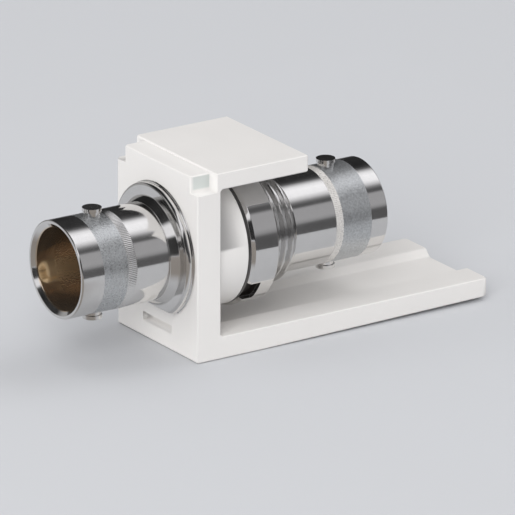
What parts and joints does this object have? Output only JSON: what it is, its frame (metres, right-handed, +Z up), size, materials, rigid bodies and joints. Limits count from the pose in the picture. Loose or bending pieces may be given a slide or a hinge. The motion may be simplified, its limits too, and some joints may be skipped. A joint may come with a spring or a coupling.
{
  "type": "bayonet coaxial coupler in a snap-in panel housing",
  "caption": "Double-ended bayonet coaxial coupler clamped by a ring nut in a white snap-in panel housing with a long latch arm.",
  "frame": {"origin": "where the coupler axis meets the front face of the housing", "axes": "+X across the housing, +Y along the coupler from the room side to the wiring side, +Z up, away from the latch arm"},
  "size_m": [0.0142, 0.0453, 0.0188],
  "materials": {
    "housing_white": "fine satin moulded plastic, off-white",
    "shell_nickel": "bright nickel plate with a rough textured band behind the mouth",
    "lug_nickel": "bright nickel plate",
    "washer_steel": "dark steel",
    "nut_nickel": "bright nickel plate",
    "dielectric": "waxy off-white dielectric",
    "contact_gold": "gold plate"
  },
  "bodies": {
    "root": {"housing": "housing_white", "front_shell": "shell_nickel", "rear_shell": "shell_nickel", "front_lug_upper": "lug_nickel", "front_lug_lower": "lug_nickel", "rear_lug_upper": "lug_nickel", "rear_lug_lower": "lug_nickel", "lock_washer": "washer_steel", "lock_nut": "nut_nickel", "front_insulator": "dielectric", "rear_insulator": "dielectric", "centre_contact": "contact_gold"}
  },
  "joints": []
}
